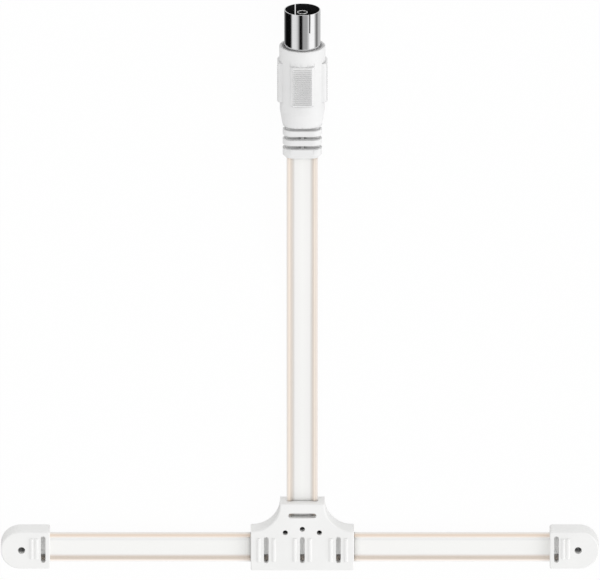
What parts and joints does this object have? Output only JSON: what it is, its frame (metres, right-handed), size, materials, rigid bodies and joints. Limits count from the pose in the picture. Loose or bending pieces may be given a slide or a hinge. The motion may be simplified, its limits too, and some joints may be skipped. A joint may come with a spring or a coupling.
{
  "type": "fm wire antenna",
  "caption": "T-shaped FM dipole of flat twin lead, with moulded end caps with nail holes, a moulded junction and a coaxial socket on its feeder.",
  "frame": {"origin": "on the junction's flat back, behind the middle of the dipole ribbon", "axes": "+X along the dipole, +Y along the feeder towards the socket, +Z out of the front"},
  "size_m": [0.1684, 0.1686, 0.0141],
  "materials": {
    "white_pvc": "moulded satin",
    "boot_pvc": "moulded satin",
    "ribbon_insulation": "extruded, smooth",
    "copper": "drawn bare copper",
    "solder": "satin solder",
    "chrome_shell": "polished plating",
    "contact_plating": "polished plating",
    "insulator": "moulded satin",
    "ferrite": "sintered"
  },
  "bodies": {
    "root": {"junction_housing": "white_pvc", "end_cap_left": "white_pvc", "end_cap_right": "white_pvc", "dipole_ribbon": "ribbon_insulation", "feeder_ribbon": "ribbon_insulation", "dipole_wire_lower": "copper", "dipole_wire_upper_left": "copper", "dipole_wire_upper_right": "copper", "feeder_wire_left": "copper", "feeder_wire_right": "copper", "splice_left": "solder", "splice_right": "solder", "end_link_left": "solder", "end_link_right": "solder", "socket_boot": "boot_pvc", "socket_shell": "chrome_shell", "socket_insulator": "insulator", "centre_contact": "contact_plating", "transformer_core": "ferrite", "primary_winding": "copper", "secondary_winding": "copper"}
  },
  "joints": []
}
